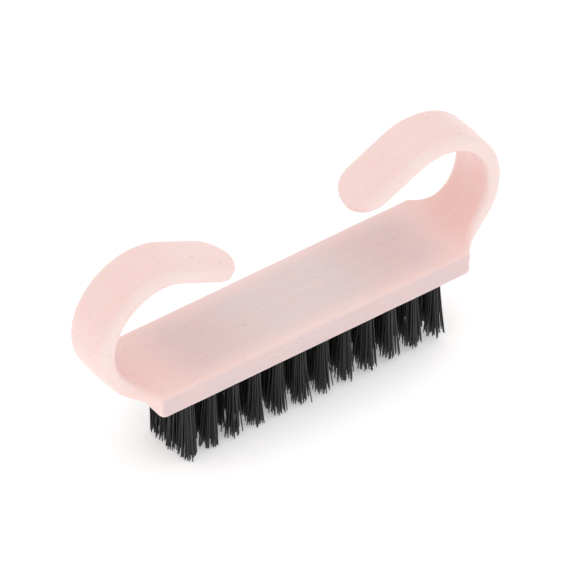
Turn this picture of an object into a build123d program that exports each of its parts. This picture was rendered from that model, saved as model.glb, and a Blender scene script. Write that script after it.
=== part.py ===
from build123d import *
import os
from math import cos, radians, sin, tan

# Nail brush with a one-piece moulded handle: a solid bar with a curled finger hook at each end,
# and tufts of nylon bristle stapled into blind holes drilled in the bar's underside.
# Millimetres. The bar runs along X, the brush stands on its bristle tips at Z = 0, and the
# origin is under the middle of the bar.

os.makedirs("parts", exist_ok=True)

# Bar
BAR_LENGTH = 54.4
BAR_WIDTH = 15.2
BAR_SIDE_HEIGHT = 3.6
DRAFT = 1.5                 # degrees of mould draft, away from the parting plane Y = 0
BAR_CORNER_RADIUS = 0.9
BAR_RIDGE_RADIUS = 0.6
BAR_LOWER_RADIUS = 0.3

# Finger hooks: a flat band that curls up and back over the bar
BAND_WIDTH = 8.5
BAND_THICKNESS = 2.6        # at the parting plane
BAND_EDGE_RADIUS = 0.8
CURL_RADIUS = 9.5           # to the middle of the band
CURL_CENTRE_X = 24.3
CURL_SWEEP = 115.5          # degrees, from the outermost point over to the straight tip
TIP_LENGTH = 11.0           # straight stretch after the curl

# The band widens into the bar
FLARE_WIDTH = 15.0
FLARE_RADIUS = 5.8
FLARE_END = 32.2            # distance from the middle of the bar at which the band is at its own width
FLARE_SHOULDER_RADIUS = 1.0

# Tufts
TUFT_COLUMNS = 12
TUFT_ROWS = 4
COLUMN_PITCH = 3.95
ROW_PITCH = 2.8
FIELD_SHIFT = 1.2           # of the middle of the pattern, along the bar towards the right hook
HOLE_RADIUS = 0.85
HOLE_DEPTH = 2.7
BRISTLE_REACH = 12.4        # from the bar's underside to the tips
TUFT_TIP_RADIUS = 1.35

# Anchor staples: flat wire driven across each hole, over the fold of the tuft
STAPLE_LENGTH = 2.1
STAPLE_THICKNESS = 0.3
STAPLE_HEIGHT = 1.0
FOLD_HEIGHT = 0.5           # bristle between the staple and the bottom of its hole

# Worked out from these
UNDERSIDE = BRISTLE_REACH
BAR_CROWN = BAR_WIDTH / 2 * tan(radians(DRAFT))
BAR_TOP = BAR_SIDE_HEIGHT + BAR_CROWN
INNER_RADIUS = CURL_RADIUS - BAND_THICKNESS / 2
OUTER_RADIUS = CURL_RADIUS + BAND_THICKNESS / 2
CURL_CENTRE_Z = BAR_TOP + INNER_RADIUS
REACH = 4 * CURL_RADIUS     # longer than any cut has to be
TOLERANCE = 0.001
GRID = [
    Pos(FIELD_SHIFT, 0) * place
    for place in GridLocations(COLUMN_PITCH, ROW_PITCH, TUFT_COLUMNS, TUFT_ROWS)
]


def along(start, angle, distance):
    """The point at a distance from start, in a direction in degrees."""
    return (start[0] + distance * cos(radians(angle)), start[1] + distance * sin(radians(angle)))


def bar():
    """The solid bar, with its underside at Z = 0, flat sides and a top that drafts both ways."""
    half = BAR_WIDTH / 2
    outline = Polyline(
        (-half, 0), (half, 0), (half, BAR_SIDE_HEIGHT), (0, BAR_TOP), (-half, BAR_SIDE_HEIGHT), close=True
    )
    block = extrude(Plane.YZ * make_face(outline), BAR_LENGTH / 2, both=True)
    block = fillet(block.edges().filter_by(Axis.Z), BAR_CORNER_RADIUS)
    lower_rim = block.faces().sort_by(Axis.Z)[0].edges()
    block = fillet(lower_rim, BAR_LOWER_RADIUS)
    long_ridges = block.edges().filter_by(Axis.X).filter_by_position(
        Axis.Z, BAR_SIDE_HEIGHT - BAR_LOWER_RADIUS, BAR_SIDE_HEIGHT + BAR_LOWER_RADIUS / 2
    )
    return fillet(long_ridges, BAR_RIDGE_RADIUS)


def band_profile():
    """Side view of the right hook, drawn in XY: a curl that leaves the bar's top, and its straight tip."""
    centre = (CURL_CENTRE_X, CURL_CENTRE_Z)
    tip_angle = CURL_SWEEP + 90
    outer_end = along(centre, CURL_SWEEP, OUTER_RADIUS)
    inner_end = along(centre, CURL_SWEEP, INNER_RADIUS)
    outer_tip = along(outer_end, tip_angle, TIP_LENGTH + BAND_THICKNESS)
    inner_tip = along(inner_end, tip_angle, TIP_LENGTH + BAND_THICKNESS)
    outer_foot = (CURL_CENTRE_X, BAR_TOP - BAND_THICKNESS)
    inner_foot = (CURL_CENTRE_X, BAR_TOP)
    edges = [
        CenterArc(centre, OUTER_RADIUS, -90, CURL_SWEEP + 90),
        Line(outer_end, outer_tip),
        Line(outer_tip, inner_tip),
        Line(inner_tip, inner_end),
        CenterArc(centre, INNER_RADIUS, CURL_SWEEP, -CURL_SWEEP - 90),
        Line(inner_foot, outer_foot),
    ]
    return make_face(edges)


def drafted(profile, half_width):
    """A side view swept both ways from the parting plane, thinning with the mould draft."""
    half = extrude(profile, half_width, taper=DRAFT)
    return Rot(90, 0, 0) * (half + mirror(half, Plane.XY))


def flare_outline():
    """Plan of a hook's root: nearly as wide as the bar, closing to the width of the band."""
    half = BAND_WIDTH / 2
    wide = FLARE_WIDTH / 2
    bulge = half + FLARE_RADIUS - wide
    start = FLARE_END - (FLARE_RADIUS**2 - bulge**2) ** 0.5
    edges = [
        Line((0, 0), (0, wide)),
        Line((0, wide), (start, wide)),
        RadiusArc((start, wide), (FLARE_END, half), -FLARE_RADIUS),
        Line((FLARE_END, half), (REACH, half)),
        Line((REACH, half), (REACH, 0)),
        Line((REACH, 0), (0, 0)),
    ]
    side = make_face(edges)
    outline = side + mirror(side, Plane.XZ)
    shoulders = outline.vertices().filter_by(lambda corner: abs(corner.X - start) < TOLERANCE)
    return fillet(shoulders, FLARE_SHOULDER_RADIUS)


def root_region():
    """All the room that the lower half of a hook may fill."""
    return extrude(flare_outline(), CURL_CENTRE_Z)


def tip_region():
    """All the room that the upper half of a hook may fill, with its round end."""
    half = BAND_WIDTH / 2
    tip_x, tip_z = along(along((CURL_CENTRE_X, CURL_CENTRE_Z), CURL_SWEEP, CURL_RADIUS),
                         CURL_SWEEP + 90, TIP_LENGTH)
    slope = CURL_SWEEP - 90
    plan = Pos(half, 0) * Circle(half) + Pos(half + REACH / 2, 0) * Rectangle(REACH, BAND_WIDTH)
    tip_plane = Plane((tip_x, 0, tip_z), x_dir=(cos(radians(slope)), 0, sin(radians(slope))),
                      z_dir=(-sin(radians(slope)), 0, cos(radians(slope))))
    room = extrude(tip_plane * plan, REACH, both=True)
    above = Pos(0, 0, CURL_CENTRE_Z + REACH / 2) * Box(2 * REACH, BAR_WIDTH, REACH)
    return room & above


def is_band_edge(edge):
    """True on the outline edges of a hook, and false on its seams and at its root."""
    low = edge.bounding_box().min
    high = edge.bounding_box().max
    on_parting_plane = max(abs(low.Y), abs(high.Y)) < TOLERANCE
    across = edge.geom_type == GeomType.LINE and min(abs(low.Y), abs(high.Y)) < TOLERANCE
    at_root = high.X < CURL_CENTRE_X + BAND_EDGE_RADIUS and high.Z < BAR_TOP + TOLERANCE
    return not (on_parting_plane or across or at_root)


def hook():
    """The right hook, with rounded edges and a root that runs into the bar."""
    band = drafted(band_profile(), BAR_WIDTH / 2) & (root_region() + tip_region())
    return fillet(band.edges().filter_by(is_band_edge), BAND_EDGE_RADIUS)


def tuft_holes():
    """The blind holes in the bar's underside."""
    return [place * extrude(Circle(HOLE_RADIUS), HOLE_DEPTH) for place in GRID]


def staple():
    """One anchor staple, lying across its hole at the height where it holds the fold."""
    middle = HOLE_DEPTH - FOLD_HEIGHT - STAPLE_HEIGHT / 2
    return Pos(0, 0, middle) * Box(STAPLE_LENGTH, STAPLE_THICKNESS, STAPLE_HEIGHT)


def staples():
    """All the anchor staples, as separate solids."""
    return [Pos(0, 0, UNDERSIDE) * place * staple() for place in GRID]


def handle():
    """The one-piece moulding: bar, both hooks, tuft holes and the bites of the staples."""
    right = hook()
    body = bar() + right + mirror(right, Plane.YZ)
    body = body - tuft_holes()
    body = body - [place * staple() for place in GRID]
    return Pos(0, 0, UNDERSIDE) * body


def tuft():
    """One tuft, centred on its hole: bristle folded over the staple, then fanning to its tips."""
    fold = extrude(Circle(HOLE_RADIUS), HOLE_DEPTH)
    spread = Pos(0, 0, -BRISTLE_REACH / 2) * Cone(TUFT_TIP_RADIUS, HOLE_RADIUS, BRISTLE_REACH)
    return fold + spread - staple()


def tuft_name(index):
    """Name of the tuft at an index of the grid, by its row from the front and its column."""
    column, row = divmod(index, TUFT_ROWS)
    return f"tuft_row{row + 1}_{column + 1:02d}"


def write_part(shape, name):
    shape.label = name
    export_step(shape, f"parts/{name}.step")


write_part(handle(), "handle")
write_part(Compound(children=staples()), "anchor_staples")
one_tuft = tuft()
for index, place in enumerate(GRID):
    write_part(Pos(0, 0, UNDERSIDE) * place * one_tuft, tuft_name(index))
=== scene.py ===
from math import cos, exp, pi, radians, sin, sqrt
from random import Random

import bpy
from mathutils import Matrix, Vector
from mathutils import noise as perlin


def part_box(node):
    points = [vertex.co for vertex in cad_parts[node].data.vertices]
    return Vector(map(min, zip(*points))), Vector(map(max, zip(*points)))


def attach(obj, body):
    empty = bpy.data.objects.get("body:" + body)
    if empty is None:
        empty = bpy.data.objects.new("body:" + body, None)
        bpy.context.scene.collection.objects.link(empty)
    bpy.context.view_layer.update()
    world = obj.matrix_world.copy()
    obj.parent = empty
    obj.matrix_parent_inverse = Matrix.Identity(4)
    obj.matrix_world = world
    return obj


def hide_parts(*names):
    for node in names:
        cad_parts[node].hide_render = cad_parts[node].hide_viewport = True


# The looks of the nail brush: a translucent pink moulded handle, black nylon tufts drawn strand by
# strand, and the anchor staples that hold them. Metres, in the frame of the CAD model.

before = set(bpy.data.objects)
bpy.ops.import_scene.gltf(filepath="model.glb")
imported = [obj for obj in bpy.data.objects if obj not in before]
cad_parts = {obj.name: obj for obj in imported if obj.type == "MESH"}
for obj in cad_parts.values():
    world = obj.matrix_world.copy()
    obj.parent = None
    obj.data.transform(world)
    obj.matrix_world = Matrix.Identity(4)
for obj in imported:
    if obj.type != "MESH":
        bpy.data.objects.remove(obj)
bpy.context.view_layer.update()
MM = 0.001

# Places read from the frame
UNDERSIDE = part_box("handle")[0].z   # of the bar, which is the lowest part of the handle
staples_low, staples_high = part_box("anchor_staples")
TUFT_NODES = sorted(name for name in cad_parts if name.startswith("tuft_"))

# Camera
CAMERA_AZIMUTH = -36.2
CAMERA_ELEVATION = 40.7
CAMERA_DISTANCE = 3.0
CAMERA_CLIP = 0.1
SENSOR_WIDTH = 36.0         # in millimetres, as Blender takes it
VIEW_WIDTH = 81.3 * MM
AIM_ABOVE_UNDERSIDE = 5.82 * MM

# Stage
FLOOR_REACH = 4.0
FLOOR_GREY = 0.92
FLOOR_GLOW = 0.3
WORLD_STRENGTH = 0.84
LIGHT_DISTANCE = 0.6

# Handle, as the CAD model has it. Distances on it are in millimetres, since its material uses them,
# and heights are above the bar's underside.
CURL_X = 24.3
CURL_HEIGHT = 12.0
BAND_HALF_WIDTH = 4.25
FLARE_END = 32.2
FLARE_RADIUS = 5.8
FLARE_LENGTH = 5.2
BAR_TOP = 3.8
BAR_HALF_WIDTH = 7.6
FIELD_SHIFT = (staples_low.x + staples_high.x) / 2 / MM

# Colours of the handle on screen, several of them painted shade and painted highlight
PINK = (245, 218, 213)
DEEP_TONE_AND_SHADE = (243, 206, 198)      # deeper pink: a cloudy tone at random, and painted shade on the bar under the hooks and on their low insides
PALE_AND_HIGHLIGHT = (241, 224, 219)      # painted highlight on the hooks' rims, and paler flow streaks and parting line
TUFT_SHADE = (228, 205, 204)      # painted shade where the tufts lie under the translucent bar
TUFT_SHADE_MIDDLE = (225, 208, 208)      # the same painted shade, at the middle of the bar
SIDE_SHADE = (222, 200, 200)      # painted shade on the long side faces of the bar
SPECK = (205, 165, 158)

# Spans over which the handle's colours run into one another, in millimetres. Those that end in TOP and
# FOOT are heights, and those that say nothing else are distances from the middle.
# the painted shade on the hooks' low inner faces
INNER_FACE_END = (8.5, 9.4)         # distance from the curl's centre
LOW_ON_CURL = (-5.0, 3.5)           # height above the curl's centre
PAST_CURL = (0.0, 5.0)              # distance out beyond the curl's centre
RIM_HIGHLIGHT = (-1.3, -0.3)                  # distance from a hook's edge, minus towards its middle, of the painted highlight
HOOK_FOOT = (BAR_TOP, BAR_TOP + 1.6)
# painted shade where the tufts lie under the bar
TUFT_SHADE_LENGTH = (18.5, 25.5)          # distance from the middle of the tufts, along the bar
TUFT_SHADE_WIDTH = (3.6, 7.6)             # distance across the bar, from its middle
TUFT_SHADE_TOP = (4.0, 5.4)
TUFT_SHADE_MIDDLE_LENGTH = (6.0, 14.0)
# painted shade on the bar's top in the hollow under each hook
END_LENGTH = (20.0, 26.0)
END_WIDTH = (3.0, 6.6)
# painted shade on the bar's long sides
SIDE_SHADE_START = (BAR_HALF_WIDTH - 0.5, BAR_HALF_WIDTH - 0.1)
SIDE_SHADE_TOP = (BAR_TOP - 0.9, BAR_TOP)
PARTING_LINE = (0.05, 0.22)         # distance from the parting plane
FLARE_TOP = (CURL_HEIGHT - 1, CURL_HEIGHT)

# How strongly a colour covers those below it
TUFT_SHADE_EDGE_SHARE = 0.25
HOLLOW_SHADE_SHARE = 0.15
HOOK_SHADE_SHARE = 0.85
RIM_HIGHLIGHT_SHARE = 0.6
STREAK_SHARE = 0.16
CLOUD_SHARE = 0.22
SPECK_SHARE = 0.35
PARTING_SHARE = 0.22

# Noises: scale, detail and the scale along each axis, and the spans of their values that are used
FLOW = (0.55, 3.0, (0.16, 1.6, 1.0))
CLOUD = (0.22, 2.0)
SPECKS = (1.3, 0.0)
GRAIN = (1.1, 4.0, (0.5, 1.0, 1.0))
WIRE_GRAIN = (3.0, 3.0, (1, 12, 12))
FLOW_SPAN = (0.42, 0.72)
CLOUD_SPAN = (0.35, 0.75)
SPECK_SPAN = (0.87, 0.91)
GRAIN_SPAN = (0.3, 0.7)
SHADE_SPAN = (0.35, 1.0)            # of the strands' own shades

# Surfaces
HANDLE_ROUGHNESS = (0.27, 0.4)
HANDLE_IOR = 1.49
SUBSURFACE_WEIGHT = 0.35
SUBSURFACE_RADIUS = (1.0, 0.6, 0.5)
SUBSURFACE_SCALE = 2.0 * MM
BUMP_STRENGTH = 0.12
BUMP_DISTANCE = 0.1 * MM
FLOW_RELIEF = 0.5
PARTING_RELIEF = 0.3
NYLON_DARK = (6, 6, 5)
NYLON_LIGHT = (34, 33, 29)
NYLON_ROUGHNESS = 0.42
NYLON_IOR = 1.53
BRASS_DARK = (196, 156, 92)
BRASS_LIGHT = (226, 192, 128)
BRASS_ROUGHNESS = (0.25, 0.45)
FLOOR_ROUGHNESS = 0.9

# Moulded surface of the handle
REMESH_SIZE = 0.24 * MM
SOFTENING_STEPS = 3
WAVE_HEIGHT = 0.035 * MM
WAVE_LENGTH = 7.0 * MM
PARTING_HEIGHT = 0.03 * MM
PARTING_WIDTH = 0.16 * MM

# Strands
STRANDS = 44
STRAND_RADIUS = 0.11 * MM
STRAND_SIDES = 6
STRAND_RINGS = 9
STRAND_ROOT = 0.6 * MM      # how far a strand runs up into its hole
CUT_END_SHARE = 0.8         # of a strand's radius, at its tip
GOLDEN_ANGLE = pi * (3 - sqrt(5))
TURN_DRIFT = 0.2
BUNDLE_RADIUS = 0.74 * MM
FAN = (1.7, 2.1)            # how much wider a tuft is at its tips
FAN_POWER = 1.4             # above 1, so that strands leave their hole nearly straight
DRIFT = 0.12 * MM
BOW = 0.07 * MM
CUT = 0.22 * MM             # how unevenly the tips are cut
STRAY_SHARE = 0.1
STRAY_DRIFT = 0.45 * MM
STRAY_CUT = 0.8 * MM
TRIM_RISE = 0.9 * MM        # the tips are cut shorter towards the right hook
LEAN = (0.0, -0.1 * MM, -0.6 * MM, -1.7 * MM)   # of the tips towards the front, row by row
SEED = 11


# --- small helpers for node trees -------------------------------------------------------------

def new_material(name):
    """An empty node material: its tree and its Principled shader."""
    material = bpy.data.materials.new(name)
    material.use_nodes = True
    tree = material.node_tree
    return material, tree, tree.nodes["Principled BSDF"]


def node(tree, kind, **settings):
    """A new node, with its properties set."""
    made = tree.nodes.new(kind)
    for name, value in settings.items():
        setattr(made, name, value)
    return made


def math(tree, operation, first, second=0.0):
    """A Math node on two values, each a number or a socket."""
    made = node(tree, "ShaderNodeMath", operation=operation)
    for socket, value in zip(made.inputs, (first, second)):
        if isinstance(value, (int, float)):
            socket.default_value = value
        else:
            tree.links.new(value, socket)
    return made.outputs[0]


def mix(tree, share, first, second):
    """The first colour with a share of the second over it, each a colour or a socket."""
    made = node(tree, "ShaderNodeMix", data_type="RGBA")
    for socket, value in ((made.inputs[0], share), (made.inputs[6], first), (made.inputs[7], second)):
        if isinstance(value, (int, float, tuple)):
            socket.default_value = value
        else:
            tree.links.new(value, socket)
    return made.outputs[2]


def ramp(tree, value, low, high, out_low=0.0, out_high=1.0):
    """A smooth step from out_low to out_high as value goes from low to high."""
    made = node(tree, "ShaderNodeMapRange", interpolation_type="SMOOTHSTEP")
    tree.links.new(value, made.inputs["Value"])
    for name, number in (("From Min", low), ("From Max", high), ("To Min", out_low), ("To Max", out_high)):
        made.inputs[name].default_value = number
    return made.outputs[0]


def noise(tree, place, scale, detail, stretch=(1, 1, 1)):
    """A noise texture over a place, which may be scaled differently along each axis."""
    mapping = node(tree, "ShaderNodeMapping")
    mapping.inputs["Scale"].default_value = stretch
    tree.links.new(place, mapping.inputs["Vector"])
    made = node(tree, "ShaderNodeTexNoise")
    made.inputs["Scale"].default_value = scale
    made.inputs["Detail"].default_value = detail
    tree.links.new(mapping.outputs[0], made.inputs["Vector"])
    return made.outputs[0]


def object_place(tree):
    """Position in the part's frame, in millimetres, and its three coordinates."""
    place = node(tree, "ShaderNodeTexCoord")
    scaled = node(tree, "ShaderNodeVectorMath", operation="SCALE")
    scaled.inputs["Scale"].default_value = 1 / MM
    tree.links.new(place.outputs["Object"], scaled.inputs[0])
    parts = node(tree, "ShaderNodeSeparateXYZ")
    tree.links.new(scaled.outputs[0], parts.inputs[0])
    return scaled.outputs[0], parts.outputs


def srgb(red, green, blue):
    """A colour given as 0 to 255 on screen, as the linear colour that a shader takes."""
    def linear(value):
        share = value / 255
        return share / 12.92 if share <= 0.04045 else ((share + 0.055) / 1.055) ** 2.4
    return (linear(red), linear(green), linear(blue), 1.0)


# --- materials --------------------------------------------------------------------------------

def band_half_width(tree, x, height):
    """Half the width of a hook at a point: its root flares in an arc where it runs into the bar."""
    inwards = math(tree, "SUBTRACT", FLARE_END, math(tree, "ABSOLUTE", x))
    inwards = math(tree, "MINIMUM", math(tree, "MAXIMUM", inwards, 0.0), FLARE_LENGTH)
    inwards = math(tree, "MULTIPLY", inwards, ramp(tree, height, *FLARE_TOP, 1.0, 0.0))
    fall = math(tree, "SUBTRACT", FLARE_RADIUS**2, math(tree, "MULTIPLY", inwards, inwards))
    return math(tree, "SUBTRACT", BAND_HALF_WIDTH + FLARE_RADIUS, math(tree, "SQRT", fall))


def hook_terms(tree, x, y, height):
    """How far a point is on the low inner face of a hook, where shade is painted, and how far on a hook's
    rim, where a highlight is painted.
    """
    beyond = math(tree, "SUBTRACT", math(tree, "ABSOLUTE", x), CURL_X)
    above = math(tree, "SUBTRACT", height, CURL_HEIGHT)
    from_centre = math(tree, "SQRT", math(tree, "ADD", math(tree, "MULTIPLY", beyond, beyond),
                                          math(tree, "MULTIPLY", above, above)))
    inner = ramp(tree, from_centre, *INNER_FACE_END, 1.0, 0.0)
    low = math(tree, "MULTIPLY", ramp(tree, above, *LOW_ON_CURL, 1.0, 0.0), ramp(tree, beyond, *PAST_CURL))
    from_edge = math(tree, "SUBTRACT", math(tree, "ABSOLUTE", y), band_half_width(tree, x, height))
    rim_highlight = math(tree, "MULTIPLY", ramp(tree, from_edge, *RIM_HIGHLIGHT), ramp(tree, height, *HOOK_FOOT))
    return math(tree, "MULTIPLY", inner, low), rim_highlight


def plastic_colour(tree, x, y, height):
    """Colour of the plastic by its place: pink, with painted shade where the tufts lie under the bar, in
    the hooks' hollows and on the bar's long sides, and a painted highlight on the hooks' rims.
    """
    from_middle = math(tree, "ABSOLUTE", math(tree, "SUBTRACT", x, FIELD_SHIFT))
    across = math(tree, "ABSOLUTE", y)
    # painted shade where the tufts lie under the translucent bar, greyer at its middle
    tuft_shaded = math(tree, "MULTIPLY", ramp(tree, from_middle, *TUFT_SHADE_LENGTH, 1.0, 0.0),
                  ramp(tree, across, *TUFT_SHADE_WIDTH, 1.0, TUFT_SHADE_EDGE_SHARE))
    tuft_shaded = math(tree, "MULTIPLY", tuft_shaded, ramp(tree, height, *TUFT_SHADE_TOP, 1.0, 0.0))
    shade = mix(tree, ramp(tree, from_middle, *TUFT_SHADE_MIDDLE_LENGTH), srgb(*TUFT_SHADE_MIDDLE), srgb(*TUFT_SHADE))
    # painted shade on the bar's top in the hollow under each hook
    hollow_shade = math(tree, "MULTIPLY", ramp(tree, from_middle, *END_LENGTH),
                  ramp(tree, across, *END_WIDTH, 1.0, 0.0))
    # painted shade on the bar's long side faces
    shaded_side = math(tree, "MULTIPLY", ramp(tree, across, *SIDE_SHADE_START),
                   ramp(tree, height, *SIDE_SHADE_TOP, 1.0, 0.0))
    # painted shade on the hooks' low inner faces, and the reach of the painted highlight on their rims
    hook_shade, rim_highlight = hook_terms(tree, x, y, height)
    colour = mix(tree, math(tree, "MULTIPLY", hollow_shade, HOLLOW_SHADE_SHARE), srgb(*PINK), srgb(*DEEP_TONE_AND_SHADE))
    colour = mix(tree, math(tree, "MULTIPLY", hook_shade, HOOK_SHADE_SHARE), colour, srgb(*DEEP_TONE_AND_SHADE))
    colour = mix(tree, tuft_shaded, colour, shade)
    # painted highlight along the hooks' rims
    colour = mix(tree, math(tree, "MULTIPLY", rim_highlight, RIM_HIGHLIGHT_SHARE), colour, srgb(*PALE_AND_HIGHLIGHT))
    return mix(tree, shaded_side, colour, srgb(*SIDE_SHADE))


def handle_material():
    """Milky pink acrylic, with a mauve-grey painted shade where the tufts lie under the bar, and painted
    shade and highlights by place.
    """
    material, tree, shader = new_material("pink_acrylic")
    place, (x, y, z) = object_place(tree)
    height = math(tree, "SUBTRACT", z, UNDERSIDE / MM)
    flow = noise(tree, place, *FLOW)
    cloud = noise(tree, place, *CLOUD)
    specks = ramp(tree, noise(tree, place, *SPECKS), *SPECK_SPAN, 0.0, SPECK_SHARE)
    parting = ramp(tree, math(tree, "ABSOLUTE", y), *PARTING_LINE, 1.0, 0.0)

    colour = plastic_colour(tree, x, y, height)
    colour = mix(tree, ramp(tree, flow, *FLOW_SPAN, 0.0, STREAK_SHARE), colour, srgb(*PALE_AND_HIGHLIGHT))
    colour = mix(tree, ramp(tree, cloud, *CLOUD_SPAN, 0.0, CLOUD_SHARE), colour, srgb(*DEEP_TONE_AND_SHADE))
    colour = mix(tree, specks, colour, srgb(*SPECK))
    colour = mix(tree, math(tree, "MULTIPLY", parting, PARTING_SHARE), colour, srgb(*PALE_AND_HIGHLIGHT))
    tree.links.new(colour, shader.inputs["Base Color"])

    grain = noise(tree, place, *GRAIN)
    tree.links.new(ramp(tree, grain, *GRAIN_SPAN, *HANDLE_ROUGHNESS), shader.inputs["Roughness"])
    bump = node(tree, "ShaderNodeBump")
    bump.inputs["Strength"].default_value = BUMP_STRENGTH
    bump.inputs["Distance"].default_value = BUMP_DISTANCE
    relief = math(tree, "ADD", math(tree, "MULTIPLY", flow, FLOW_RELIEF),
                  math(tree, "MULTIPLY", parting, PARTING_RELIEF))
    tree.links.new(relief, bump.inputs["Height"])
    tree.links.new(bump.outputs[0], shader.inputs["Normal"])
    shader.inputs["IOR"].default_value = HANDLE_IOR
    shader.inputs["Subsurface Weight"].default_value = SUBSURFACE_WEIGHT
    shader.inputs["Subsurface Radius"].default_value = SUBSURFACE_RADIUS
    shader.inputs["Subsurface Scale"].default_value = SUBSURFACE_SCALE
    return material


def bristle_material():
    """Black nylon, each strand a little lighter or darker than the next."""
    material, tree, shader = new_material("black_nylon")
    strand = node(tree, "ShaderNodeAttribute", attribute_name="strand")
    share = ramp(tree, strand.outputs["Fac"], *SHADE_SPAN)
    tree.links.new(mix(tree, share, srgb(*NYLON_DARK), srgb(*NYLON_LIGHT)), shader.inputs["Base Color"])
    shader.inputs["Roughness"].default_value = NYLON_ROUGHNESS
    shader.inputs["IOR"].default_value = NYLON_IOR
    return material


def staple_material():
    """Drawn brass wire."""
    material, tree, shader = new_material("brass_wire")
    place, _ = object_place(tree)
    grain = noise(tree, place, *WIRE_GRAIN)
    colour = mix(tree, grain, srgb(*BRASS_DARK), srgb(*BRASS_LIGHT))
    tree.links.new(colour, shader.inputs["Base Color"])
    shader.inputs["Metallic"].default_value = 1.0
    tree.links.new(ramp(tree, grain, *GRAIN_SPAN, *BRASS_ROUGHNESS), shader.inputs["Roughness"])
    return material


def floor_material():
    """Plain white, with a little light of its own."""
    material, tree, shader = new_material("floor_white")
    shader.inputs["Base Color"].default_value = (FLOOR_GREY, FLOOR_GREY, FLOOR_GREY, 1.0)
    shader.inputs["Roughness"].default_value = FLOOR_ROUGHNESS
    shader.inputs["Emission Color"].default_value = (1, 1, 1, 1)
    shader.inputs["Emission Strength"].default_value = FLOOR_GLOW
    return material


# --- handle -----------------------------------------------------------------------------------

def moulded_handle(material):
    """The handle's mesh with its creases softened, a faint wave and the mould's parting line."""
    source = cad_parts["handle"]
    draft = bpy.data.objects.new("handle_draft", source.data.copy())
    bpy.context.scene.collection.objects.link(draft)
    remesh = draft.modifiers.new("remesh", "REMESH")
    remesh.mode = "VOXEL"
    remesh.voxel_size = REMESH_SIZE
    smooth = draft.modifiers.new("smooth", "SMOOTH")
    smooth.iterations = SOFTENING_STEPS
    bpy.context.view_layer.update()
    evaluated = draft.evaluated_get(bpy.context.evaluated_depsgraph_get())
    mesh = bpy.data.meshes.new_from_object(evaluated)
    mesh.name = "handle_moulding"
    bpy.data.objects.remove(draft)
    places = [vertex.co.copy() for vertex in mesh.vertices]
    normals = [normal.vector.copy() for normal in mesh.vertex_normals]
    moved = []
    for place, normal in zip(places, normals):
        wave = WAVE_HEIGHT * perlin.noise(place / WAVE_LENGTH)
        ridge = PARTING_HEIGHT * exp(-(place.y / PARTING_WIDTH) ** 2)
        moved.extend(place + normal * (wave + ridge))
    mesh.vertices.foreach_set("co", moved)
    mesh.polygons.foreach_set("use_smooth", [True] * len(mesh.polygons))
    mesh.materials.clear()
    mesh.materials.append(material)
    piece = bpy.data.objects.new("handle_moulding", mesh)
    bpy.context.scene.collection.objects.link(piece)
    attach(piece, "root")
    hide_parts("handle")


# --- tufts ------------------------------------------------------------------------------------

def strand_path(start, tip, bow, top, bottom):
    """Points from the hole down to the tip, leaving the hole nearly straight and then fanning out."""
    points = []
    for ring in range(STRAND_RINGS):
        share = ring / (STRAND_RINGS - 1)
        out = share**FAN_POWER
        points.append(Vector((
            start.x + (tip.x - start.x) * out + bow.x * sin(pi * share),
            start.y + (tip.y - start.y) * out + bow.y * sin(pi * share),
            top + (bottom - top) * share,
        )))
    return points


def add_strand(points, shade, vertices, faces, shades):
    """A thin closed tube along the points."""
    first = len(vertices)
    for ring, point in enumerate(points):
        radius = STRAND_RADIUS * (CUT_END_SHARE if ring == len(points) - 1 else 1.0)
        for side in range(STRAND_SIDES):
            angle = 2 * pi * side / STRAND_SIDES
            vertices.append((point.x + radius * cos(angle), point.y + radius * sin(angle), point.z))
            shades.append(shade)
    for ring in range(len(points) - 1):
        low = first + ring * STRAND_SIDES
        for side in range(STRAND_SIDES):
            after = (side + 1) % STRAND_SIDES
            faces.append((low + after, low + side, low + STRAND_SIDES + side, low + STRAND_SIDES + after))
    last = first + (len(points) - 1) * STRAND_SIDES
    faces.append(tuple(first + side for side in range(STRAND_SIDES)))
    faces.append(tuple(last + side for side in reversed(range(STRAND_SIDES))))


def tuft(name, material):
    """One tuft, strand by strand, in place of its plain CAD solid."""
    low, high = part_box(name)
    middle = (low + high) / 2
    random = Random(f"{SEED} {name}")
    row = int(name.split("_")[1].removeprefix("row"))
    lean = Vector((0, LEAN[row - 1], 0))
    trim = TRIM_RISE * (middle.x - staples_low.x) / (staples_high.x - staples_low.x)
    vertices, faces, shades = [], [], []
    for index in range(STRANDS):
        radius = BUNDLE_RADIUS * sqrt((index + 0.5) / STRANDS)
        angle = index * GOLDEN_ANGLE + random.uniform(-TURN_DRIFT, TURN_DRIFT)
        outwards = Vector((radius * cos(angle), radius * sin(angle), 0))
        start = middle + outwards
        stray = random.random() < STRAY_SHARE
        spread = STRAY_DRIFT if stray else DRIFT
        fan = random.uniform(*FAN)
        drift = Vector((random.gauss(0, spread), random.gauss(0, spread), 0)) + lean
        tip = middle + fan * outwards + drift
        bow = Vector((random.gauss(0, BOW), random.gauss(0, BOW), 0))
        bottom = low.z + trim + abs(random.gauss(0, STRAY_CUT if stray else CUT))
        points = strand_path(start, tip, bow, UNDERSIDE + STRAND_ROOT, bottom)
        add_strand(points, random.random(), vertices, faces, shades)
    mesh = bpy.data.meshes.new(name + "_strands")
    mesh.from_pydata(vertices, [], faces)
    mesh.polygons.foreach_set("use_smooth", [len(face) == 4 for face in faces])
    mesh.attributes.new("strand", "FLOAT", "POINT").data.foreach_set("value", shades)
    mesh.materials.append(material)
    piece = bpy.data.objects.new(name + "_strands", mesh)
    bpy.context.scene.collection.objects.link(piece)
    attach(piece, "root")
    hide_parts(name)


# --- stage ------------------------------------------------------------------------------------

def floor():
    """A plain floor at the height of the bristle tips."""
    reach = FLOOR_REACH
    mesh = bpy.data.meshes.new("floor")
    corners = [(-reach, -reach, 0), (reach, -reach, 0), (reach, reach, 0), (-reach, reach, 0)]
    mesh.from_pydata(corners, [], [(0, 1, 2, 3)])
    mesh.materials.append(floor_material())
    piece = bpy.data.objects.new("floor", mesh)
    bpy.context.scene.collection.objects.link(piece)


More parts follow.
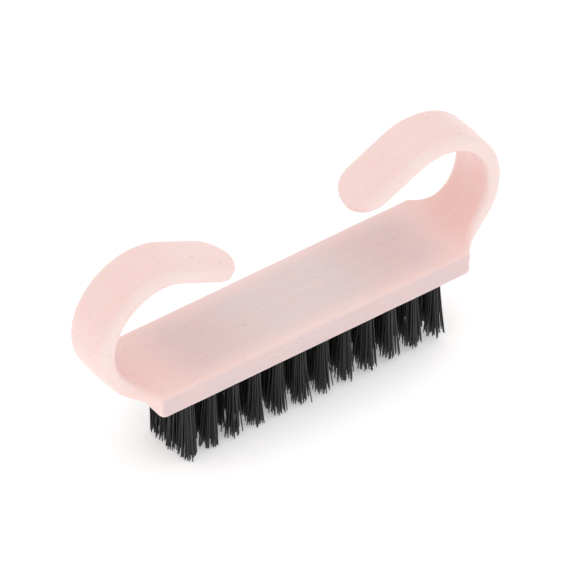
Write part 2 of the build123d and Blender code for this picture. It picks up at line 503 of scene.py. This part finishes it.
def direction(azimuth, elevation):
    """Unit vector from the object towards that side of it."""
    turn, rise = radians(azimuth), radians(elevation)
    return Vector((sin(turn) * cos(rise), -cos(turn) * cos(rise), sin(rise)))


def camera():
    """A long lens that looks down at the brush from the front left."""
    towards = direction(CAMERA_AZIMUTH, CAMERA_ELEVATION)
    data = bpy.data.cameras.new("camera")
    data.sensor_width = SENSOR_WIDTH
    data.lens = data.sensor_width * CAMERA_DISTANCE / VIEW_WIDTH
    data.clip_start = CAMERA_CLIP
    piece = bpy.data.objects.new("camera", data)
    aim = Vector((0, 0, UNDERSIDE + AIM_ABOVE_UNDERSIDE))
    piece.location = aim + towards * CAMERA_DISTANCE
    piece.rotation_mode = "QUATERNION"
    piece.rotation_quaternion = (-towards).to_track_quat("-Z", "Y")
    bpy.context.scene.collection.objects.link(piece)
    bpy.context.scene.camera = piece


def soft_light(name, azimuth, elevation, size, power):
    """A square soft box that faces the object."""
    towards = direction(azimuth, elevation)
    data = bpy.data.lights.new(name, "AREA")
    data.size = size
    data.energy = power
    piece = bpy.data.objects.new(name, data)
    piece.location = towards * LIGHT_DISTANCE
    piece.rotation_mode = "QUATERNION"
    piece.rotation_quaternion = (-towards).to_track_quat("-Z", "Y")
    bpy.context.scene.collection.objects.link(piece)


def studio():
    """White surroundings and two soft boxes."""
    world = bpy.data.worlds.new("studio")
    world.use_nodes = True
    background = world.node_tree.nodes["Background"]
    background.inputs["Color"].default_value = (1, 1, 1, 1)
    background.inputs["Strength"].default_value = WORLD_STRENGTH
    bpy.context.scene.world = world
    soft_light("key", azimuth=-60, elevation=55, size=0.5, power=0.1)
    soft_light("top", azimuth=20, elevation=85, size=0.6, power=0.55)
    bpy.context.scene.view_settings.view_transform = "Standard"


# --- the scene --------------------------------------------------------------------------------

moulded_handle(handle_material())

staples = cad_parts["anchor_staples"]
staples.data.materials.clear()
staples.data.materials.append(staple_material())

nylon = bristle_material()
for tuft_node in TUFT_NODES:
    tuft(tuft_node, nylon)

floor()
camera()
studio()

bpy.context.view_layer.update()
